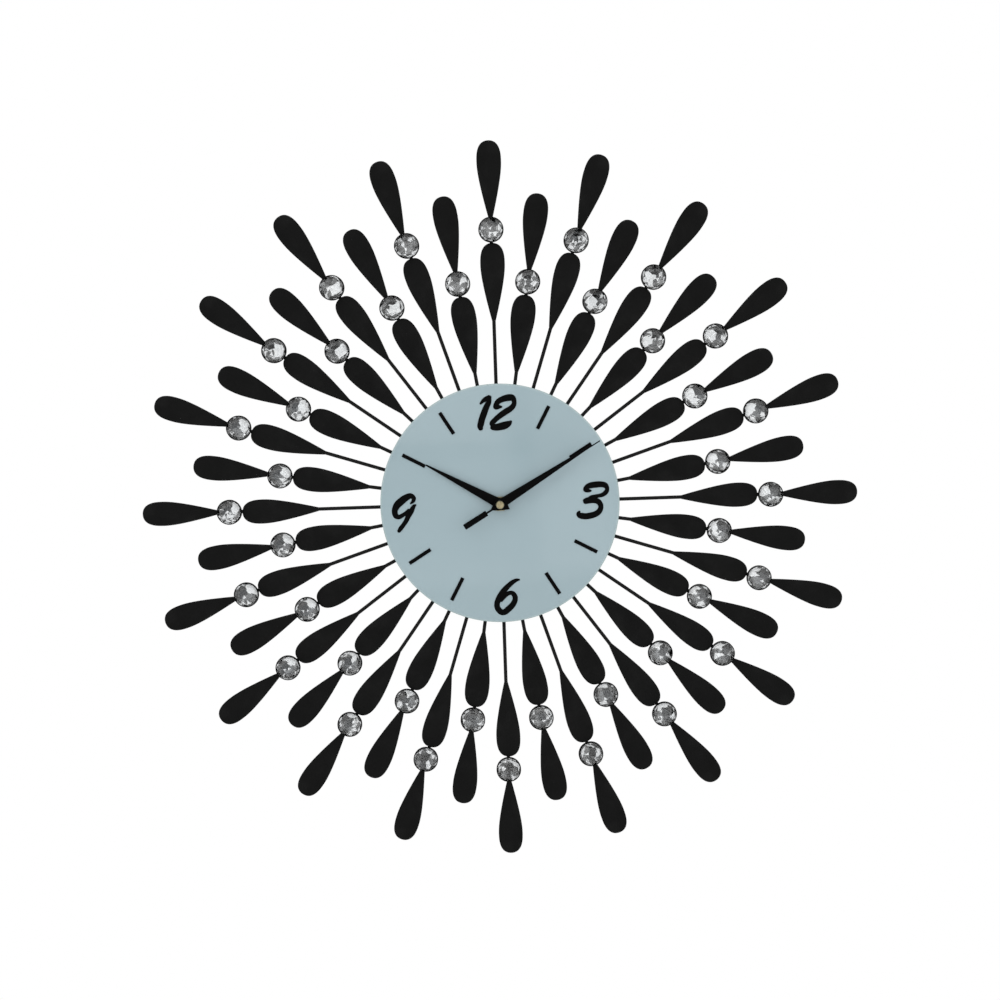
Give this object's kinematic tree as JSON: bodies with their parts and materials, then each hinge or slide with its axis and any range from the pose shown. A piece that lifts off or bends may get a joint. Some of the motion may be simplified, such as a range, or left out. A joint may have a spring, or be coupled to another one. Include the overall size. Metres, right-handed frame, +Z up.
{
  "type": "sunburst wall clock",
  "caption": "Round glass dial ringed by black wire rays of teardrop petals and faceted crystals, with a quartz movement whose train turns the three hands",
  "frame": {"origin": "where the axis of the hands meets the flat back face of the movement, on the wall", "axes": "+Z up through twelve o'clock, -Y out of the dial towards the reader, +Y into the wall, +X to the reader's right"},
  "size_m": [0.6096, 0.0508, 0.6096],
  "materials": {
    "black_iron": "satin",
    "crystal": "polished",
    "hand_enamel": "satin",
    "dial_glass": "polished",
    "dial_print": "satin",
    "brass": "polished",
    "case_plastic": "matte",
    "gear_plastic": "satin",
    "battery_wrap": "polished",
    "steel": "brushed",
    "copper_winding": "satin"
  },
  "bodies": {
    "root": {"dial_glass": "dial_glass", "hub_pan": "black_iron", "hex_nut": "brass", "long_ray_01": "black_iron", "long_ray_02": "black_iron", "long_ray_03": "black_iron", "long_ray_04": "black_iron", "long_ray_05": "black_iron", "long_ray_06": "black_iron", "long_ray_07": "black_iron", "long_ray_08": "black_iron", "long_ray_09": "black_iron", "long_ray_10": "black_iron", "long_ray_11": "black_iron", "long_ray_12": "black_iron", "long_ray_13": "black_iron", "long_ray_14": "black_iron", "long_ray_15": "black_iron", "long_ray_16": "black_iron", "long_ray_17": "black_iron", "long_ray_18": "black_iron", "long_ray_19": "black_iron", "long_ray_20": "black_iron", "short_ray_01": "black_iron", "short_ray_02": "black_iron", "short_ray_03": "black_iron", "short_ray_04": "black_iron", "short_ray_05": "black_iron", "short_ray_06": "black_iron", "short_ray_07": "black_iron", "short_ray_08": "black_iron", "short_ray_09": "black_iron", "short_ray_10": "black_iron", "short_ray_11": "black_iron", "short_ray_12": "black_iron", "short_ray_13": "black_iron", "short_ray_14": "black_iron", "short_ray_15": "black_iron", "short_ray_16": "black_iron", "short_ray_17": "black_iron", "short_ray_18": "black_iron", "short_ray_19": "black_iron", "short_ray_20": "black_iron", "movement_case": "case_plastic", "movement_cover": "case_plastic", "stator": "steel", "coil": "copper_winding"},
    "battery": {"battery": "battery_wrap"},
    "rotor": {"rotor": "gear_plastic"},
    "intermediate": {"intermediate_wheel": "gear_plastic"},
    "seconds": {"seconds_wheel": "gear_plastic", "second_hand": "hand_enamel"},
    "third": {"third_wheel": "gear_plastic"},
    "centre": {"centre_wheel": "gear_plastic"},
    "minutes": {"minute_pipe": "gear_plastic", "minute_hand": "hand_enamel"},
    "minute_wheel": {"minute_wheel": "gear_plastic"},
    "hours": {"hour_wheel": "gear_plastic", "hour_hand": "hand_enamel"},
    "knob": {"setting_knob": "gear_plastic"}
  },
  "joints": [
    {"name": "second_turn", "type": "hinge", "parent": "root", "child": "seconds", "pos_m": [0, 0, 0], "axis": [0, 1, 0], "continuous": true},
    {"name": "rotor_turn", "type": "hinge", "parent": "root", "child": "rotor", "pos_m": [0.01329, 0, 0.01223], "axis": [0, 1, 0], "continuous": true},
    {"name": "intermediate_turn", "type": "hinge", "parent": "root", "child": "intermediate", "pos_m": [0.0054, 0, 0.00935], "axis": [0, 1, 0], "continuous": true},
    {"name": "third_turn", "type": "hinge", "parent": "root", "child": "third", "pos_m": [-0.00935, 0, 0.0054], "axis": [0, 1, 0], "continuous": true},
    {"name": "centre_turn", "type": "hinge", "parent": "root", "child": "centre", "pos_m": [0, 0, 0], "axis": [0, 1, 0], "continuous": true},
    {"name": "minute_turn", "type": "hinge", "parent": "root", "child": "minutes", "pos_m": [0, 0, 0], "axis": [0, 1, 0], "continuous": true},
    {"name": "minute_wheel_turn", "type": "hinge", "parent": "root", "child": "minute_wheel", "pos_m": [0.00812, 0, -0.00296], "axis": [0, 1, 0], "continuous": true},
    {"name": "hour_turn", "type": "hinge", "parent": "root", "child": "hours", "pos_m": [0, 0, 0], "axis": [0, 1, 0], "continuous": true},
    {"name": "knob_turn", "type": "hinge", "parent": "root", "child": "knob", "pos_m": [0.0156, 0, 0.00136], "axis": [0, 1, 0], "continuous": true},
    {"name": "battery_slide", "type": "slide", "parent": "root", "child": "battery", "axis": [0, 1, 0], "range_m": [0, 0.03]}
  ],
  "couplings": [
    {"joint": "rotor_turn", "follows": "second_turn", "ratio": 30},
    {"joint": "intermediate_turn", "follows": "second_turn", "ratio": -5},
    {"joint": "third_turn", "follows": "second_turn", "ratio": -0.13333},
    {"joint": "centre_turn", "follows": "second_turn", "ratio": 0.016667},
    {"joint": "minute_wheel_turn", "follows": "minute_turn", "ratio": -0.33333},
    {"joint": "hour_turn", "follows": "minute_turn", "ratio": 0.083333},
    {"joint": "knob_turn", "follows": "minute_turn", "ratio": 1}
  ]
}
